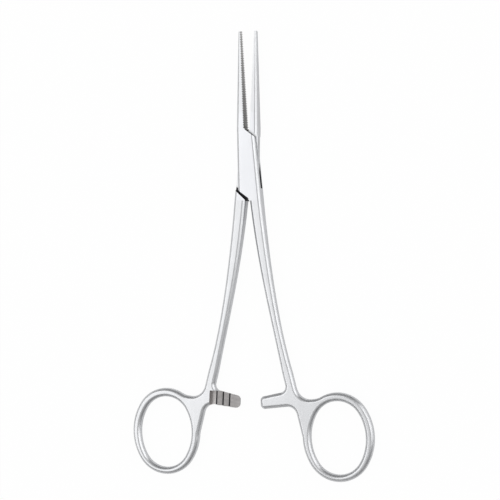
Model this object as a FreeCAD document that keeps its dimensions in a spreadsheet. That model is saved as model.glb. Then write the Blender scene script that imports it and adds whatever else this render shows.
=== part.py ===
import FreeCAD, Part
import math
import os
import re
import Sketcher

# Straight ring-handled locking forceps with a box lock, in millimetres and degrees.
#
# Each half is drawn as it lies when the jaws are shut: the pivot is at X = 0, Y = 0, the jaws
# reach up +Y, the shanks go down -Y, and the inner faces of the jaws lie along X = 0. The
# underside of the lock is at Z = 0. Each half is then turned about the pivot to the slightly
# open rest.

SIZES = {
    # Rest pose
    "rest_half_turn": 3.2,

    # Lock
    "lock_thickness": 5.0,
    "lock_half_length": 13.0,
    "lock_jaw_half_width": 3.25,
    "lock_shank_half_width": 4.3,
    "edge_bevel": 0.9,
    "end_reach": 12.2,
    "end_lean": 40.0,
    "shoulder_gap": 0.55,
    "slot_end_clearance": 0.1,
    "tenon_thickness": 1.64,
    "tenon_side_clearance": 0.03,
    "centre_clearance": 0.05,

    # Pin
    "pin_diameter": 2.4,
    "pin_clearance": 0.03,

    # Jaws
    "jaw_length": 34.3,
    "jaw_tip_width": 0.85,
    "jaw_tip_thickness": 2.0,
    "jaw_tip_bevel": 0.5,
    "jaw_tip_round": 0.6,
    "jaw_root_relief": 0.4,
    "serration_pitch": 0.845,
    "serration_depth": 0.34,
    "serration_crest": 0.1,
    "serration_root": 0.16,
    "serration_clearance": 0.02,

    # Shanks
    "shank_length": 61.0,
    "shank_start_lean": 2.7,
    "shank_bend_radius": 405.0,
    "shoulder_station": 11.0,
    "shoulder_width": 4.1,
    "shoulder_thickness": 4.4,
    "middle_station": 27.0,
    "middle_width": 3.65,
    "middle_thickness": 3.6,
    "waist_station": 43.0,
    "waist_width": 3.15,
    "waist_thickness": 3.15,
    "foot_width": 3.65,

    # Finger rings
    "ring_thickness": 3.2,
    "ring_centre_out": 17.1,
    "ring_centre_down": 23.3,
    "ring_hole_half_width": 9.85,
    "ring_hole_half_length": 12.75,
    "ring_hole_end_round": 8.75,
    "ring_side_rim": 3.0,
    "ring_top_rim": 3.0,
    "ring_bottom_rim": 2.5,
    "ring_lean": 2.0,

    # Yoke between shank, ring and ratchet arm
    "web_depth": 10.0,
    "web_side_out": 2.1,
    "web_run": 14.0,
    "web_fillet": 5.0,
    "ring_fillet": 6.0,
    "side_fillet": 3.4,
    "throat_fillet": 2.2,

    # Ratchet arms
    "arm_down": 8.3,
    "arm_width": 4.3,
    "arm_taper": 0.8,
    "arm_overlap": 0.7,
    "arm_flare": 1.7,
    "arm_tip_round": 1.5,
    "catch_pitch": 2.45,
    "catch_first": 2.85,
    "catch_count": 3,
    "catch_height": 0.75,
    "catch_reach": 0.3,
    "catch_notch_width": 0.8,
    "catch_notch_depth": 0.35,
    "recess_run": 2.6,
    "recess_gap": 0.35,
}

doc = FreeCAD.newDocument("forceps")
sheet = doc.addObject("Spreadsheet::Sheet", "Sizes")
for row, (alias, value) in enumerate(SIZES.items(), start=1):
    sheet.set(f"A{row}", alias)
    sheet.set(f"B{row}", str(value))
    sheet.setAlias(f"B{row}", alias)
doc.recompute()

SAME = 1e-4
NEARBY = 0.5


def bound(text):
    """A formula in the plain size names, ready to be tied to a dimension."""
    return re.sub(r"[a-z_]+", lambda m: f"Sizes.{m.group()}" if m.group() in SIZES else m.group(), text)


def value_of(text):
    """The present value of a formula in the plain size names."""
    return float(sheet.evalExpression(bound(text)))


def origin_plane(body, role):
    return [part for part in body.Origin.OriginFeatures if part.Role == role][0]


def new_sketch(body, name, role, height="0", centre=("0", "0"), lean="0"):
    """An empty outline on a main plane, at a height above it and leant about its own centre."""
    sketch = body.newObject("Sketcher::SketchObject", name)
    sketch.AttachmentSupport = (origin_plane(body, role), [""])
    sketch.MapMode = "FlatFace"
    sketch.setExpression("AttachmentOffset.Base.x", bound(centre[0]))
    sketch.setExpression("AttachmentOffset.Base.y", bound(centre[1]))
    sketch.setExpression("AttachmentOffset.Base.z", bound(height))
    sketch.setExpression("AttachmentOffset.Rotation.Angle", bound(lean))
    return sketch


def fix_point(sketch, curve, point, place):
    """Hold a point of a curve at a place given by two formulas."""
    for kind, text in zip(("DistanceX", "DistanceY"), place):
        index = sketch.addConstraint(Sketcher.Constraint(kind, -1, 1, curve, point, value_of(text)))
        sketch.setExpression(f"Constraints[{index}]", bound(text))


def polygon(body, name, role, corners, height="0", centre=("0", "0"), lean="0"):
    """A closed outline of straight lines through corners given as pairs of formulas."""
    sketch = new_sketch(body, name, role, height, centre, lean)
    places = [FreeCAD.Vector(value_of(x), value_of(y), 0) for x, y in corners]
    count = len(corners)
    for index in range(count):
        sketch.addGeometry(Part.LineSegment(places[index], places[(index + 1) % count]))
    for index in range(count):
        sketch.addConstraint(Sketcher.Constraint("Coincident", index, 2, (index + 1) % count, 1))
    for index, corner in enumerate(corners):
        fix_point(sketch, index, 1, corner)
    return sketch


def ring_oval(body, name, side, half_width, half_length, end_round, rise="0"):
    """A four-arc oval on the ring's own axes, which lean outward by the ring's lean."""
    sketch = new_sketch(body, name, "XY_Plane", "lock_thickness / 2",
                        (f"{side} * {RING_X}", RING_Y), f"{-side} * ring_lean")
    reach = f"({half_length} - {end_round})"
    narrow = f"({half_width} - {end_round})"
    side_round = f"(({half_width} ^ 2 + {reach} ^ 2 - {end_round} ^ 2) / (2 * {narrow}))"
    join_x = f"{end_round} * ({side_round} - {half_width}) / ({side_round} - {end_round})"
    join_y = f"{side_round} * {reach} / ({side_round} - {end_round})"
    joins = [
        (join_x, f"{rise} + {join_y}"),
        (f"-{join_x}", f"{rise} + {join_y}"),
        (f"-{join_x}", f"{rise} - {join_y}"),
        (join_x, f"{rise} - {join_y}"),
    ]
    crowns = [
        ("0", f"{rise} + {half_length}"),
        (f"-{half_width}", rise),
        ("0", f"{rise} - {half_length}"),
        (half_width, rise),
    ]
    start, end = 1, 2
    for index, (crown, radius) in enumerate(zip(crowns, (end_round, side_round) * 2)):
        through = [joins[index], crown, joins[(index + 1) % len(joins)]]
        arc = sketch.addGeometry(Part.Arc(*(FreeCAD.Vector(value_of(x), value_of(y), 0) for x, y in through)))
        held = sketch.addConstraint(Sketcher.Constraint("Radius", arc, value_of(radius)))
        sketch.setExpression(f"Constraints[{held}]", bound(radius))
    for index, join in enumerate(joins):
        before = (index - 1) % len(joins)
        sketch.addConstraint(Sketcher.Constraint("Coincident", before, end, index, start))
        fix_point(sketch, index, start, join)
    return sketch


def circle(body, name, radius):
    """A circle about the pivot."""
    sketch = new_sketch(body, name, "XY_Plane")
    disc = sketch.addGeometry(Part.Circle(FreeCAD.Vector(0, 0, 0), FreeCAD.Vector(0, 0, 1), value_of(radius)))
    sketch.addConstraint(Sketcher.Constraint("Coincident", disc, 3, -1, 1))
    index = sketch.addConstraint(Sketcher.Constraint("Radius", disc, value_of(radius)))
    sketch.setExpression(f"Constraints[{index}]", bound(radius))
    return sketch


def feature(body, kind, name, profile, **properties):
    """A solid step made from an outline, with its depth given by a formula."""
    made = body.newObject(f"PartDesign::{kind}", name)
    made.Profile = profile
    for key, setting in properties.items():
        if isinstance(setting, str) and key in ("Length", "Length2"):
            made.setExpression(key, bound(setting))
        else:
            setattr(made, key, setting)
    return made


def plate(body, name, profile, thickness):
    """A pad of full thickness on both sides of the profile's plane."""
    return feature(body, "Pad", name, profile, SideType="Symmetric", Length=thickness)


def cut_through(body, name, profile, depth="4 * lock_thickness"):
    """A pocket that passes right through on both sides of the profile's plane."""
    return feature(body, "Pocket", name, profile, SideType="Symmetric", Length=depth)


def edge_names(shape, wanted):
    return [f"Edge{number}" for number, edge in enumerate(shape.Edges, start=1) if wanted(edge)]


def dress(body, kind, name, wanted, size):
    """A fillet or chamfer on every edge of the last feature that the test wants."""
    doc.recompute()
    base = body.Tip
    made = body.newObject(f"PartDesign::{kind}", name)
    made.Base = (base, edge_names(base.Shape, wanted))
    made.setExpression("Radius" if kind == "Fillet" else "Size", bound(size))
    return made


def is_upright_at(edge, x, y):
    """Whether an edge stands along Z close to a place in plan."""
    start = edge.Vertexes[0].Point
    end = edge.Vertexes[-1].Point
    rises = abs(start.z - end.z) > value_of("ring_thickness / 2")
    upright = math.hypot(start.x - end.x, start.y - end.y) < SAME
    return rises and upright and math.hypot(start.x - x, start.y - y) < NEARBY


def meets_the_ring(edge, side):
    """Whether an upright edge lies where the web's upper line runs into the ring."""
    start = edge.Vertexes[0].Point
    between = value_of(f"{WEB_SIDE_X} + ring_side_rim") < side * start.x < value_of(RING_X)
    return between and start.y > value_of(RING_Y) and is_upright_at(edge, start.x, start.y)


def octagon(inner, outer, thickness, inner_bevel, outer_bevel):
    """Corners of a bevelled section between two X places, centred on the lock's mid-plane."""
    low = f"lock_thickness / 2 - ({thickness}) / 2"
    high = f"lock_thickness / 2 + ({thickness}) / 2"
    side = "1" if value_of(outer) > value_of(inner) else "-1"
    return [
        (inner, f"{low} + edge_bevel"),
        (f"{inner} + {side} * ({inner_bevel})", low),
        (f"{outer} - {side} * ({outer_bevel})", low),
        (outer, f"{low} + edge_bevel"),
        (outer, f"{high} - edge_bevel"),
        (f"{outer} - {side} * ({outer_bevel})", high),
        (f"{inner} + {side} * ({inner_bevel})", high),
        (inner, f"{high} - edge_bevel"),
    ]


def loft(body, name, sections, ruled):
    made = body.newObject("PartDesign::AdditiveLoft", name)
    made.Profile = sections[0]
    made.Sections = sections[1:]
    made.Ruled = ruled
    return made


# Yoke, ring and ratchet arm

def shank_centre(station):
    """How far the shank's middle lies from X = 0, at a distance down from the lock's end."""
    start = "(lock_shank_half_width + centre_clearance) / 2"
    return f"({start} + {station} * tan(shank_start_lean) + {station} ^ 2 / (2 * shank_bend_radius))"


FOOT_X = shank_centre("shank_length")
FOOT_Y = "(-lock_half_length - shank_length)"
FOOT_SLOPE = "(tan(shank_start_lean) + shank_length / shank_bend_radius)"
WEB_SIDE_X = f"({FOOT_X} + web_side_out)"
RING_X = f"({FOOT_X} + ring_centre_out)"
RING_Y = f"({FOOT_Y} - ring_centre_down)"
RING_HALF_WIDTH = "(ring_hole_half_width + ring_side_rim)"
RING_HALF_LENGTH = "(ring_hole_half_length + (ring_top_rim + ring_bottom_rim) / 2)"
RING_END_ROUND = "(ring_hole_end_round + ring_side_rim)"
RING_RISE = "((ring_top_rim - ring_bottom_rim) / 2)"
ARM_TOP = f"({FOOT_Y} - arm_down)"
ARM_BOTTOM = f"({ARM_TOP} - arm_width)"


def add_handle(body, side):
    """Ring, web and arm as one bevelled plate that the shank grows from."""
    rim = ring_oval(body, "RingOutline", side, RING_HALF_WIDTH, RING_HALF_LENGTH, RING_END_ROUND, RING_RISE)
    plate(body, "RingDisc", rim, "ring_thickness")
    foot_inner = f"{FOOT_X} - foot_width / 2"
    foot_outer = f"{FOOT_X} + foot_width / 2"
    corners = [
        (foot_inner, FOOT_Y),
        (foot_outer, FOOT_Y),
        (f"{foot_outer} + web_depth * {FOOT_SLOPE}", f"{FOOT_Y} - web_depth"),
        (RING_X, f"{RING_Y} + ring_hole_half_length + ring_top_rim / 2"),
        (RING_X, f"{ARM_BOTTOM} - web_run"),
        (f"{RING_X} - ring_hole_half_width - ring_side_rim * 3 / 4", f"{ARM_BOTTOM} - web_run"),
        (WEB_SIDE_X, f"{ARM_BOTTOM} + arm_taper"),
        ("-arm_overlap", ARM_BOTTOM),
        ("-arm_overlap", ARM_TOP),
        (f"{foot_inner} + (arm_down - arm_flare) * {FOOT_SLOPE}", f"{ARM_TOP} + arm_flare"),
    ]
    corners = [(f"{side} * ({x})", y) for x, y in corners]
    web = polygon(body, "YokeOutline", "XY_Plane", corners, "lock_thickness / 2")
    plate(body, "Yoke", web, "ring_thickness")
    return corners


def add_handle_edges(body, side, corners):
    """Rounded inside corners, the finger hole, and a bevel round every outline."""
    spots = [(value_of(x), value_of(y)) for x, y in corners]
    web_corner, side_corner, low_tip, high_tip, throat = spots[2], spots[6], spots[7], spots[8], spots[9]
    dress(body, "Fillet", "WebFillet", lambda edge: is_upright_at(edge, *web_corner), "web_fillet")
    dress(body, "Fillet", "RingFillet", lambda edge: meets_the_ring(edge, side), "ring_fillet")
    dress(body, "Fillet", "SideFillet", lambda edge: is_upright_at(edge, *side_corner), "side_fillet")
    dress(body, "Fillet", "ThroatFillet", lambda edge: is_upright_at(edge, *throat), "throat_fillet")
    dress(body, "Fillet", "ArmTipFillet",
          lambda edge: is_upright_at(edge, *low_tip) or is_upright_at(edge, *high_tip), "arm_tip_round")
    hole = ring_oval(body, "FingerHoleOutline", side, "ring_hole_half_width", "ring_hole_half_length",
                     "ring_hole_end_round")
    cut_through(body, "FingerHole", hole)
    foot_y = value_of(FOOT_Y)
    low = value_of("lock_thickness / 2 - ring_thickness / 2")
    high = value_of("lock_thickness / 2 + ring_thickness / 2")

    def on_an_outline(edge):
        box = edge.BoundBox
        flat = box.ZLength < SAME and min(abs(box.ZMin - low), abs(box.ZMin - high)) < SAME
        return flat and box.YMin < foot_y - SAME

    dress(body, "Chamfer", "HandleBevel", on_an_outline, "edge_bevel")


def add_ratchet(body, side, facing):
    """Half the arm's thickness cut away, down to saw teeth whose steep faces look at their own shank.

    A small notch at the foot of each steep face gives the mating tooth room to seat.
    """
    middle = "lock_thickness / 2"
    crest = f"{middle} + {facing} * catch_reach"
    root = f"{middle} + {facing} * (catch_reach - catch_height)"
    notch = f"{middle} + {facing} * (catch_reach - catch_height - catch_notch_depth)"
    clear = f"{middle} + {facing} * ring_thickness"
    end = "catch_first + (catch_count - 1) * catch_pitch + recess_run"
    profile = [("-3 * arm_overlap", clear), ("-3 * arm_overlap", root), ("-arm_overlap", root)]
    for index in range(int(value_of("catch_count"))):
        place = f"catch_first + {index} * catch_pitch"
        profile.append((place, crest))
        profile.append((place, notch))
        profile.append((f"{place} + catch_notch_width", root))
    profile.append((end, root))
    profile.append((end, clear))
    profile = [(f"{side} * ({x})", z) for x, z in profile]
    top_of_cut = f"-{ARM_TOP} - arm_flare + recess_gap"
    saw = polygon(body, "SawOutline", "XZ_Plane", profile, top_of_cut)
    return feature(body, "Pocket", "Ratchet", saw, Length="arm_width + 2 * arm_flare", Reversed=True)


# Shank

LOCK_SLOPE = "((lock_shank_half_width - lock_jaw_half_width) / (2 * lock_half_length))"
LOCK_BEVEL = f"edge_bevel * sqrt(1 + {LOCK_SLOPE} ^ 2)"


def add_shank(body, side):
    """Bevelled bar from the lock's end to the yoke, bending outward and thinning to a waist."""
    bevel = "edge_bevel"
    foot_bevel = f"edge_bevel * sqrt(1 + {FOOT_SLOPE} ^ 2)"
    root_width = "lock_shank_half_width - centre_clearance"
    stations = [
        ("0", root_width, "lock_thickness", LOCK_BEVEL),
        ("shoulder_station", "shoulder_width", "shoulder_thickness", bevel),
        ("middle_station", "middle_width", "middle_thickness", bevel),
        ("waist_station", "waist_width", "waist_thickness", bevel),
        ("shank_length", "foot_width", "ring_thickness", foot_bevel),
    ]
    sections = []
    for number, (station, width, thickness, slant) in enumerate(stations):
        inner = f"{side} * ({shank_centre(station)} - ({width}) / 2)"
        outer = f"{side} * ({shank_centre(station)} + ({width}) / 2)"
        corners = octagon(inner, outer, thickness, slant, slant)
        name = f"ShankSection{number}"
        sections.append(polygon(body, name, "XZ_Plane", corners, f"lock_half_length + {station}"))
    return loft(body, "Shank", sections, False)


# Jaw

def jaw_section(body, name, side, face, back, thickness, bevel, height):
    """Corners of a jaw's section: a square-edged inner face and a bevelled back."""
    low = f"lock_thickness / 2 - ({thickness}) / 2"
    high = f"lock_thickness / 2 + ({thickness}) / 2"
    corners = [
        (face, low),
        (f"{back} - ({bevel})", low),
        (back, f"{low} + ({bevel})"),
        (back, f"{high} - ({bevel})"),
        (f"{back} - ({bevel})", high),
        (face, high),
    ]
    corners = [(f"{side} * ({x})", z) for x, z in corners]
    return polygon(body, name, "XZ_Plane", corners, height)


def add_jaw(body, side, phase):
    """Tapered jaw whose cross serrations, half a pitch from the other jaw's, mesh towards the tip."""
    proud = "(serration_depth - serration_clearance) / 2"
    root = jaw_section(body, "JawRoot", side, f"jaw_root_relief - {proud}", "lock_jaw_half_width",
                       "lock_thickness", LOCK_BEVEL, "-lock_half_length")
    tip = jaw_section(body, "JawTip", side, f"-{proud}", "jaw_tip_width", "jaw_tip_thickness",
                      "jaw_tip_bevel", "-(lock_half_length + jaw_length)")
    loft(body, "Jaw", [root, tip], True)
    tip_y = value_of("lock_half_length + jaw_length")
    face_x = side * value_of(f"-{proud}")

    def at_the_back_of_the_tip(edge):
        box = edge.BoundBox
        return box.YMin > tip_y - SAME and box.XLength < SAME and abs(box.XMax - face_x) > SAME

    dress(body, "Fillet", "TipRounding", at_the_back_of_the_tip, "jaw_tip_round")
    outside = "-2 * serration_depth"
    valley = "(serration_depth + serration_clearance) / 2"
    mouth = "(serration_pitch - serration_crest) / 2"
    floor = "serration_root / 2"
    start = f"{phase} * serration_pitch"
    corners = [
        (outside, f"{start} - {mouth}"),
        (f"-{proud}", f"{start} - {mouth}"),
        (valley, f"{start} - {floor}"),
        (valley, f"{start} + {floor}"),
        (f"-{proud}", f"{start} + {mouth}"),
        (outside, f"{start} + {mouth}"),
    ]
    corners = [(f"{side} * ({x})", y) for x, y in corners]
    groove = polygon(body, "GrooveOutline", "XY_Plane", corners, "lock_thickness / 2",
                     (f"{side} * jaw_root_relief", "lock_half_length"),
                     f"{side} * atan(jaw_root_relief / jaw_length)")
    first = cut_through(body, "FirstGroove", groove)
    doc.recompute()
    row = body.newObject("PartDesign::LinearPattern", "Serrations")
    row.Originals = [first]
    row.Direction = (groove, ["V_Axis"])
    row.Mode = "Spacing"
    row.setExpression("Offset", bound("serration_pitch"))
    row.setExpression("Occurrences", bound("floor(jaw_length / serration_pitch) + 2"))
    body.Tip = row


# Lock

def add_lock_blank(body):
    """The outside of the closed lock, which both halves share: a tapered bevelled block."""
    corners = [
        ("-lock_shank_half_width", "-lock_half_length"),
        ("lock_shank_half_width", "-lock_half_length"),
        ("lock_jaw_half_width", "lock_half_length"),
        ("-lock_jaw_half_width", "lock_half_length"),
    ]
    outline = polygon(body, "LockOutline", "XY_Plane", corners, "lock_thickness / 2")
    plate(body, "LockBlank", outline, "lock_thickness")
    half_length = value_of("lock_half_length")
    thickness = value_of("lock_thickness")

    def along_a_side(edge):
        start = edge.Vertexes[0].Point
        end = edge.Vertexes[-1].Point
        within = max(abs(start.y), abs(end.y)) < half_length + SAME
        level = abs(start.z - end.z) < SAME and min(abs(start.z), abs(start.z - thickness)) < SAME
        return within and level and abs(start.y - end.y) > half_length

    dress(body, "Chamfer", "LockBevel", along_a_side, "edge_bevel")


FAR = "(2 * lock_shank_half_width)"
PAST = "(lock_half_length + end_reach)"


def slanted_corner(side, way, reach):
    """Outline of what lies past a slanted end line, on one side of X = 0 and up or down."""
    corners = [
        ("-centre_clearance", f"{reach} + centre_clearance * tan(end_lean)"),
        (FAR, f"{reach} - {FAR} * tan(end_lean)"),
        (FAR, PAST),
        ("-centre_clearance", PAST),
    ]
    return [(f"{side} * ({x})", f"{way} * ({y})") for x, y in corners]


def cut_box(body, jaw_side):
    """Open both corners for the other half, then the slot through the middle."""
    for name, side, way in (("JawCorner", -jaw_side, 1), ("ShankCorner", jaw_side, -1)):
        outline = polygon(body, f"{name}Outline", "XY_Plane", slanted_corner(side, way, "end_reach"),
                          "lock_thickness / 2")
        cut_through(body, name, outline)
    reach = "end_reach + slot_end_clearance"
    slant = f"{reach} - {FAR} * tan(end_lean)"
    corners = [
        ("0", reach),
        (FAR, reach),
        (FAR, f"-({slant})"),
        ("0", f"-({reach})"),
        (f"-{FAR}", f"-({reach})"),
        (f"-{FAR}", slant),
    ]
    corners = [(f"{-jaw_side} * ({x})", y) for x, y in corners]
    outline = polygon(body, "SlotOutline", "XY_Plane", corners, "lock_thickness / 2")
    cut_through(body, "Slot", outline, "tenon_thickness + 2 * tenon_side_clearance")


def cut_tenon(body, jaw_side):
    """Clear the other half's corners, then thin the middle between two slanted shoulders."""
    for name, side, way in (("JawCorner", -jaw_side, 1), ("ShankCorner", jaw_side, -1)):
        outline = polygon(body, f"{name}Outline", "XY_Plane", slanted_corner(side, way, "end_reach"),
                          "lock_thickness / 2")
        cut_through(body, name, outline)
    reach = "(end_reach + shoulder_gap)"
    rise = f"{FAR} * tan(end_lean)"
    corners = [
        (FAR, f"{reach} - {rise}"),
        (f"-{FAR}", f"{reach} + {rise}"),
        (f"-{FAR}", f"-{reach} + {rise}"),
        (FAR, f"-{reach} - {rise}"),
    ]
    corners = [(f"{jaw_side} * ({x})", y) for x, y in corners]
    half = "tenon_thickness / 2"
    for name, way in (("ShoulderTop", 1), ("ShoulderBottom", -1)):
        height = f"lock_thickness / 2 + {way} * {half}"
        outline = polygon(body, f"{name}Outline", "XY_Plane", corners, height)
        feature(body, "Pocket", name, outline, Length="lock_thickness", Reversed=(way > 0))


def add_bore(body, radius):
    cut_through(body, "PinBore", circle(body, "PinBoreOutline", radius))


# Pieces

def new_body(label, turn):
    body = doc.addObject("PartDesign::Body", label)
    body.Label = label
    body.AllowCompound = True
    body.setExpression("Placement.Rotation.Angle", bound(turn))
    return body


def make_half(label, jaw_side, turn, facing, phase, cut_lock, bore_radius):
    """One half: its jaw on one side of the pivot, its shank, ring and arm on the other."""
    body = new_body(label, turn)
    shank_side = -jaw_side
    corners = add_handle(body, shank_side)
    add_handle_edges(body, shank_side, corners)
    add_ratchet(body, shank_side, facing)
    add_lock_blank(body)
    add_shank(body, shank_side)
    doc.recompute()
    cut_lock(body, jaw_side)
    add_jaw(body, jaw_side, phase)
    add_bore(body, bore_radius)
    return body


def make_pin():
    body = new_body("hinge_pin", "rest_half_turn")
    feature(body, "Pad", "Pin", circle(body, "PinOutline", "pin_diameter / 2"), Length="lock_thickness")
    return body


pieces = [
    make_half("box_half", -1, "rest_half_turn", -1, "0", cut_box, "pin_diameter / 2"),
    make_half("tenon_half", 1, "-rest_half_turn", 1, "0.5", cut_tenon, "pin_diameter / 2 + pin_clearance"),
    make_pin(),
]
doc.recompute()

failed = [item.Name for item in doc.Objects if "Invalid" in item.State or "Error" in item.State]
if failed:
    raise RuntimeError(f"objects that failed: {failed}")
for piece in pieces:
    shape = piece.Shape
    if shape.isNull() or not shape.isValid() or len(shape.Solids) != 1:
        raise RuntimeError(f"{piece.Label} is not one valid solid")

os.makedirs("parts", exist_ok=True)
for piece in pieces:
    piece.Shape.exportStep(f"parts/{piece.Label}.step")
    print(piece.Label, round(piece.Shape.Volume, 1), "mm3", len(piece.Shape.Faces), "faces")
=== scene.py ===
import math

import bmesh
import bpy
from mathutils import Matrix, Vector


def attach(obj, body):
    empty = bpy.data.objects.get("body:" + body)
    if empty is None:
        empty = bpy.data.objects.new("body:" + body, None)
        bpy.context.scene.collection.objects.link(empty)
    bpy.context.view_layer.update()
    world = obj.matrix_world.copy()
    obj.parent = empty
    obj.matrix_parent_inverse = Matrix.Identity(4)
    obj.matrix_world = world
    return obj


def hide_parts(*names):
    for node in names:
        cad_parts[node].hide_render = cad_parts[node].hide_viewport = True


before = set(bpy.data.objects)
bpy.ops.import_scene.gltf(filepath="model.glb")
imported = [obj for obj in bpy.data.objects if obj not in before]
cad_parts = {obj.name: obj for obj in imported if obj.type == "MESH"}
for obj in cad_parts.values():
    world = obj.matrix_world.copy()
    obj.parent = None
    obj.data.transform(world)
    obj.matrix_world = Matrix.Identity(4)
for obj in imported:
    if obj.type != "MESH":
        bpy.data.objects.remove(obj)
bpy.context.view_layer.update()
MM = 0.001

scene = bpy.context.scene
scene.view_settings.view_transform = "Standard"


# The view. The forceps lie on their lock and rings, and the camera looks down a little from the right.

LENS_MM = 101.9
SENSOR_MM = 36
VIEW_DISTANCE = 501 * MM
VIEW_TILT = math.radians(19)
VIEW_ROLL = math.radians(0.42)
LOOKED_AT = Vector((0.15, -30.32, 2.5)) * MM


def look_down():
    eye = bpy.data.cameras.new("camera")
    eye.lens = LENS_MM
    eye.sensor_width = SENSOR_MM
    camera = bpy.data.objects.new("camera", eye)
    scene.collection.objects.link(camera)
    towards_eye = Vector((
        math.sin(VIEW_TILT) * math.cos(VIEW_ROLL),
        -math.sin(VIEW_TILT) * math.sin(VIEW_ROLL),
        math.cos(VIEW_TILT),
    ))
    up = Vector((math.sin(VIEW_ROLL), math.cos(VIEW_ROLL), 0))
    turned = camera.matrix_world.to_3x3()
    turned.col[0] = up.cross(towards_eye)
    turned.col[1] = up
    turned.col[2] = towards_eye
    camera.matrix_world = turned.to_4x4()
    camera.location = LOOKED_AT + towards_eye * VIEW_DISTANCE
    scene.camera = camera


# Colours and nodes.

WHITE = (1, 1, 1, 1)


def shade(written):
    """The linear colour of an sRGB hex value such as 'D8D9DB'."""
    parts = [int(written[i:i + 2], 16) / 255 for i in (0, 2, 4)]
    linear = [c / 12.92 if c <= 0.04045 else ((c + 0.055) / 1.055) ** 2.4 for c in parts]
    return (*linear, 1)


def put(made_of, kind, feeds=None, **settings):
    """Adds a node. Each feed is a socket's name or number, with the value or the output that goes in."""
    added = made_of.node_tree.nodes.new(kind)
    for name, value in settings.items():
        setattr(added, name, value)
    for socket, source in (feeds or {}).items():
        if isinstance(source, bpy.types.NodeSocket):
            made_of.node_tree.links.new(source, added.inputs[socket])
        else:
            added.inputs[socket].default_value = source
    return added


def bare_material(name):
    material = bpy.data.materials.new(name)
    material.use_nodes = True
    material.node_tree.nodes.clear()
    return material


# How wide the soft patches in the steel's colour are.
PATCH_MM = 8


def steel_finish(name, darker, lighter, smoothest, roughest, brushed_mm, along, depth_mm):
    """Stainless steel whose colour drifts a little in soft patches, under brush lines that run one way.

    The lines are brushed_mm apart and are stretched by the scale along.
    """
    steel = bare_material(name)
    place = put(steel, "ShaderNodeTexCoord").outputs["Object"]
    stretched = put(steel, "ShaderNodeMapping", {"Vector": place, "Scale": along})
    lines = put(steel, "ShaderNodeTexNoise", {
        "Vector": stretched.outputs[0], "Scale": 1 / (2 * brushed_mm * MM), "Detail": 3, "Roughness": 0.6,
    })
    patches = put(steel, "ShaderNodeTexNoise", {"Vector": place, "Scale": 1 / (PATCH_MM * MM), "Detail": 2})
    drift = put(steel, "ShaderNodeMapRange", {
        "Value": patches.outputs["Fac"], "From Min": 0.3, "From Max": 0.7,
    })
    streaks = put(steel, "ShaderNodeMapRange", {
        "Value": lines.outputs["Fac"], "From Min": 0.3, "From Max": 0.7,
    })
    both = put(steel, "ShaderNodeMix", {
        "Factor": 0.5, "A": drift.outputs[0], "B": streaks.outputs[0],
    }, data_type="FLOAT")
    colour = put(steel, "ShaderNodeMix", {
        "Factor": both.outputs[0], 6: shade(darker), 7: shade(lighter),
    }, data_type="RGBA")
    rough = put(steel, "ShaderNodeMapRange", {
        "Value": streaks.outputs[0], "To Min": smoothest, "To Max": roughest,
    })
    relief = put(steel, "ShaderNodeBump", {
        "Height": lines.outputs["Fac"], "Strength": 0.3, "Distance": depth_mm * MM,
    })
    body = put(steel, "ShaderNodeBsdfPrincipled", {
        "Base Color": colour.outputs[2], "Metallic": 1.0,
        "Roughness": rough.outputs[0], "Normal": relief.outputs[0],
    })
    put(steel, "ShaderNodeOutputMaterial", {"Surface": body.outputs[0]})
    return steel


def steel_finishes():
    """The finishes on a half, in the order of OUTSIDE, CHEEK, SERRATED, CATCHES and SHADED_RECESS."""
    return [
        # Ground, then brushed along the instrument: soft bright bands and no sharp mirror. The lines are
        # 0.05 mm apart and are drawn 0.3 mm apart, so that each shows. The grain of the finishes below is as
        # fine or finer, and is drawn coarser for the same reason.
        steel_finish("brushed_satin_steel", "CACBCD", "D6D7D9", smoothest=0.28, roughest=0.38,
                     brushed_mm=0.3, along=(1, 0.06, 1), depth_mm=0.02),
        # The flat sides of the lock and the jaw roots: a lighter, calmer copy of the outside steel, painted
        # lighter for the brighter light these level flats catch. The lightest, calmest steel on it.
        steel_finish("cheek_steel_painted_lighter", "CFD0D3", "D5D6D9", smoothest=0.28, roughest=0.34,
                     brushed_mm=0.25, along=(1, 0.1, 1), depth_mm=0.01),
        # Jaw teeth as the cutter left them, dull, with residue in the valleys: grey and grainy.
        steel_finish("cut_serration_steel", "9C9B9A", "C4C3C2", smoothest=0.32, roughest=0.48,
                     brushed_mm=0.4, along=(1, 1, 1), depth_mm=0.04),
        # Ratchet teeth, filed across the arm and not polished: duller, darker and slightly warm.
        steel_finish("filed_catch_steel", "A29F9E", "C6C3C2", smoothest=0.34, roughest=0.48,
                     brushed_mm=0.35, along=(0.5, 1, 1), depth_mm=0.05),
        # Inside the lock and at the roots of the catches, where no brush reaches: dull unpolished steel,
        # painted almost black as the shade that falls there.
        steel_finish("recess_steel_painted_shade", "2E2E30", "4A4A4C", smoothest=0.4, roughest=0.55,
                     brushed_mm=0.5, along=(1, 1, 1), depth_mm=0.03),
    ]


# The stage and the light.

FLOOR_HALF_WIDTH = 2.5
# How much of the paper's own white the camera sees, and how much of it the steel mirrors.
WHITE_SEEN = 0.97
WHITE_MIRRORED = 0.4
LAMPS_AIMED_AT = (0, -0.03, 0)


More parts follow.
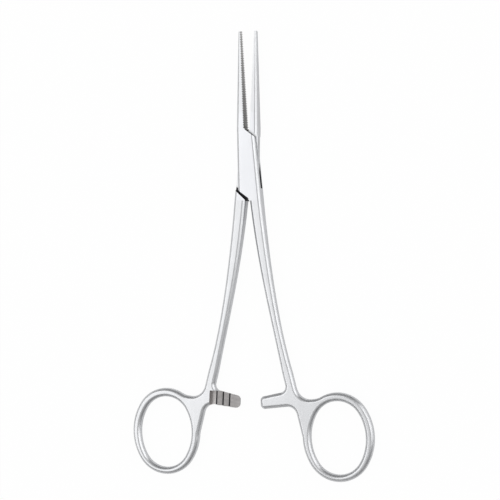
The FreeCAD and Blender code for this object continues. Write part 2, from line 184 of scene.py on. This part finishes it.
def lay_floor():
    bm = bmesh.new()
    bmesh.ops.create_grid(bm, x_segments=1, y_segments=1, size=FLOOR_HALF_WIDTH)
    mesh = bpy.data.meshes.new("floor")
    bm.to_mesh(mesh)
    bm.free()
    floor = bpy.data.objects.new("floor", mesh)
    scene.collection.objects.link(floor)
    paper = bare_material("white_studio_paper")
    rays = put(paper, "ShaderNodeLightPath")
    matt = put(paper, "ShaderNodeBsdfDiffuse", {"Color": shade("F4F4F4")})
    white = put(paper, "ShaderNodeEmission", {"Color": WHITE, "Strength": 1.0})
    mirrored = put(paper, "ShaderNodeMath", {
        0: rays.outputs["Is Glossy Ray"], 1: WHITE_MIRRORED,
    }, operation="MULTIPLY")
    seen = put(paper, "ShaderNodeMath", {
        0: rays.outputs["Is Camera Ray"], 1: WHITE_SEEN, 2: mirrored.outputs[0],
    }, operation="MULTIPLY_ADD")
    mixed = put(paper, "ShaderNodeMixShader", {0: seen.outputs[0], 1: matt.outputs[0], 2: white.outputs[0]})
    put(paper, "ShaderNodeOutputMaterial", {"Surface": mixed.outputs[0]})
    mesh.materials.append(paper)


def hang_softbox(name, place, wide, high, glow):
    """A plain soft lamp. A glow of 1 looks white in a mirror."""
    lamp = bpy.data.lights.new(name, "AREA")
    lamp.shape = "RECTANGLE"
    lamp.size = wide
    lamp.size_y = high
    lamp.energy = glow * math.pi * wide * high
    hung = bpy.data.objects.new(name, lamp)
    scene.collection.objects.link(hung)
    hung.location = place
    hung.rotation_euler = (Vector(place) - Vector(LAMPS_AIMED_AT)).to_track_quat("Z", "Y").to_euler()


def light_the_room():
    """The room is dimmer towards the horizon, which draws thin dark lines along the bevels.

    The camera sees it white.
    """
    world = bpy.data.worlds.new("room")
    scene.world = world
    world.use_nodes = True
    world.node_tree.nodes.clear()
    way = put(world, "ShaderNodeSeparateXYZ", {0: put(world, "ShaderNodeTexCoord").outputs["Generated"]})
    height = put(world, "ShaderNodeMapRange", {
        "Value": way.outputs["Z"], "From Min": 0.2, "From Max": 0.75, "To Min": 0.22, "To Max": 0.65,
    })
    rays = put(world, "ShaderNodeLightPath")
    glow = put(world, "ShaderNodeMix", {
        "Factor": rays.outputs["Is Camera Ray"], "A": height.outputs[0], "B": 1.0,
    }, data_type="FLOAT")
    room = put(world, "ShaderNodeBackground", {"Color": WHITE, "Strength": glow.outputs[0]})
    put(world, "ShaderNodeOutputWorld", {"Surface": room.outputs[0]})
    hang_softbox("left_softbox", (-0.72, 0.1, 0.82), wide=1.45, high=1.2, glow=1.0)
    hang_softbox("right_strip", (0.88, 0.2, 0.46), wide=1.15, high=0.6, glow=1.5)


# The pieces. Each is its CAD solid with the grinder's rounding on the outer edges, and a finish for each kind
# of surface on it; the recesses get painted shade and the cheeks are painted lighter. The lengths from here
# on are in millimetres on the shut forceps, measured from the pin: x across, y towards the jaws and z up from
# the bench.

OUTSIDE, CHEEK, SERRATED, CATCHES, SHADED_RECESS = range(5)
HALF_TURN = math.radians(3.2)
GRINDING_RADIUS = 0.33
MID_HEIGHT = 2.5
# Edges within this distance of the pin's axis stay sharp.
PIN_ZONE = 2
# A point this near to a line counts as on it.
NEAR = 0.05

# The jaw teeth: where they start, and how far they lie from the line on which the jaws meet.
TEETH_START = 12.2
TEETH_DEPTH = 0.7

# The catches: the foot of the ratchet arm, the end of the cutter's path above it, the arm's tip past the
# middle, the wall where the cutter turned back, the heights between which it cut, and how far behind
# mid-height a notch starts.
ARM_FOOT = -88.5
CUTTER_STOP = -80.95
ARM_TIP = -0.9
CUTTER_WALL = 10.35
CUT_FLOOR, CUT_ROOF = 1.6, 3.4
NOTCH_START = 0.44

# The lock: how far its slot runs up and down, the heights of the slot's floor and roof, how far the tenon's
# flats run, the lean of the slot's ends, and how far down the tenon keeps the outside steel. Further down, in
# the slit, it gets the painted shade.
SLOT_REACH = 13.6
SLOT_FLOOR, SLOT_ROOF = 1.5, 3.5
TENON_REACH = 16
END_LEAN = math.radians(40)
SLIT_START = 8.7

# The flat cheeks of the lock, from their foot up to the line across the jaws where the steel painted lighter
# ends.
CHEEK_FOOT = -13.2
CHEEK_REACH = 18.4


def shut_place(point, turn):
    """Where a point lies, in millimetres, when its half is turned back to the shut jaws."""
    x, y, z = point / MM
    return Vector((x * math.cos(turn) + y * math.sin(turn), y * math.cos(turn) - x * math.sin(turn), z))


def is_level(facing):
    return abs(facing.z) > 0.95


def is_in_the_slit(place):
    along = place.x * math.sin(END_LEAN) + place.y * math.cos(END_LEAN)
    return along < NEAR - SLIT_START


def catch_finish(spots, facing, jaw_side):
    """The finish of a face among the catches, or None for a face of the arm's outside."""
    if all(abs(-jaw_side * p.x - CUTTER_WALL) < NEAR for p in spots):
        return CATCHES
    if not all(CUT_FLOOR < p.z < CUT_ROOF for p in spots):
        return None
    # Steep faces and notch faces get the painted shade, which draws dark lines between the teeth.
    is_steep = abs(facing.x) > 0.9
    in_a_notch = not is_level(facing) and all(jaw_side * (p.z - MID_HEIGHT) < -NOTCH_START for p in spots)
    return SHADED_RECESS if in_a_notch or is_steep else CATCHES


def lock_finish(spots, facing, jaw_side):
    """The finish of a face inside the lock or at the slot's ends, or None for a face of the outside."""
    if all(SLOT_FLOOR < p.z < SLOT_ROOF for p in spots):
        # Level faces of the tenon above the slit keep the outside steel; the rest between the slot's floor
        # and roof get the painted shade.
        is_lit = is_level(facing) and jaw_side > 0 and not all(is_in_the_slit(p) for p in spots)
        return OUTSIDE if is_lit else SHADED_RECESS
    is_upright = abs(facing.z) < 0.2
    looks_along = abs(facing.y) > 0.3
    on_the_middle = all(abs(p.x) < 0.25 for p in spots)
    # Upright walls at the slot's ends and on the middle get the painted shade too.
    return SHADED_RECESS if is_upright and (looks_along or on_the_middle) else None


def finish_of(face, jaw_side, turn):
    """Which finish a face of a half has. The side of its jaw is -1 on the left and 1 on the right."""
    spots = [shut_place(v.co, turn) for v in face.verts]
    facing = shut_place(face.normal * MM, turn)
    if all(p.y > TEETH_START and abs(p.x) < TEETH_DEPTH for p in spots):
        return SERRATED
    among_the_catches = all(
        ARM_FOOT < p.y < CUTTER_STOP + NEAR and ARM_TIP < -jaw_side * p.x < CUTTER_WALL + NEAR for p in spots)
    inner = None
    if among_the_catches:
        inner = catch_finish(spots, facing, jaw_side)
    elif all(abs(p.y) < SLOT_REACH for p in spots):
        inner = lock_finish(spots, facing, jaw_side)
    if inner is not None:
        return inner
    on_a_cheek = is_level(facing) and all(CHEEK_FOOT < p.y < CHEEK_REACH + NEAR for p in spots)
    return CHEEK if on_a_cheek else OUTSIDE


def is_tenon_flat(face):
    """A level face inside the lock, on the tenon or on the floor or roof of its slot."""
    return is_level(face.normal) and all(
        SLOT_FLOOR * MM < v.co.z < SLOT_ROOF * MM and v.co.xy.length < TENON_REACH * MM for v in face.verts)


def split_across(bm, faces, reach, lean):
    """Splits faces along a line, so far up from the pin in millimetres and leant from the way across."""
    square_on = Vector((math.sin(lean), math.cos(lean), 0))
    edges = {edge for face in faces for edge in face.edges}
    points = {vertex for face in faces for vertex in face.verts}
    bmesh.ops.bisect_plane(bm, geom=[*points, *edges, *faces], dist=0.001 * MM,
                           plane_co=square_on * reach * MM, plane_no=square_on)


def is_ground_ridge(edge, turn):
    """An outer corner that grinding rounds, away from the pin and from the end of the cutter's path."""
    if not (edge.is_manifold and edge.is_convex and edge.calc_face_angle() > math.radians(22)):
        return False
    if any(face.material_index not in (OUTSIDE, CHEEK) for face in edge.link_faces):
        return False
    if all(abs(shut_place(v.co, turn).y - CUTTER_STOP) < NEAR for v in edge.verts):
        return False
    return all(v.co.xy.length > PIN_ZONE * MM for v in edge.verts)


def ground_half(name, node, body, jaw_side, turn, finishes):
    """A half of the forceps, with every outer edge rounded as it is by grinding and polishing."""
    bm = bmesh.new()
    bm.from_mesh(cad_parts[node].data)
    bmesh.ops.remove_doubles(bm, verts=bm.verts, dist=0.002 * MM)
    bmesh.ops.dissolve_limit(bm, angle_limit=math.radians(0.3), verts=bm.verts, edges=bm.edges)
    split_across(bm, bm.faces[:], CHEEK_REACH, -turn)
    split_across(bm, [face for face in bm.faces if is_tenon_flat(face)], -SLIT_START, END_LEAN - turn)
    bm.normal_update()
    for face in bm.faces:
        face.smooth = True
        face.material_index = finish_of(face, jaw_side, turn)
    ridges = [edge for edge in bm.edges if is_ground_ridge(edge, turn)]
    bmesh.ops.bevel(bm, geom=ridges, offset=GRINDING_RADIUS * MM, offset_type="OFFSET", segments=3,
                    profile=0.5, affect="EDGES", clamp_overlap=False, material=-1)
    bm.normal_update()
    for edge in bm.edges:
        edge.smooth = edge.calc_face_angle() < math.radians(30)
    mesh = bpy.data.meshes.new(name)
    bm.to_mesh(mesh)
    bm.free()
    for finish in finishes:
        mesh.materials.append(finish)
    half = bpy.data.objects.new(name, mesh)
    scene.collection.objects.link(half)
    flats = half.modifiers.new("flats_stay_flat", "WEIGHTED_NORMAL")
    flats.keep_sharp = True
    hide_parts(node)
    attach(half, body)


look_down()
lay_floor()
light_the_room()
finishes = steel_finishes()
ground_half("box_side_forging", "box_half", "box_side", -1, HALF_TURN, finishes)
ground_half("tenon_side_forging", "tenon_half", "tenon_side", 1, -HALF_TURN, finishes)
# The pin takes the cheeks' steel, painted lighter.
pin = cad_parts["hinge_pin"]
pin.data.materials.clear()
pin.data.materials.append(finishes[CHEEK])
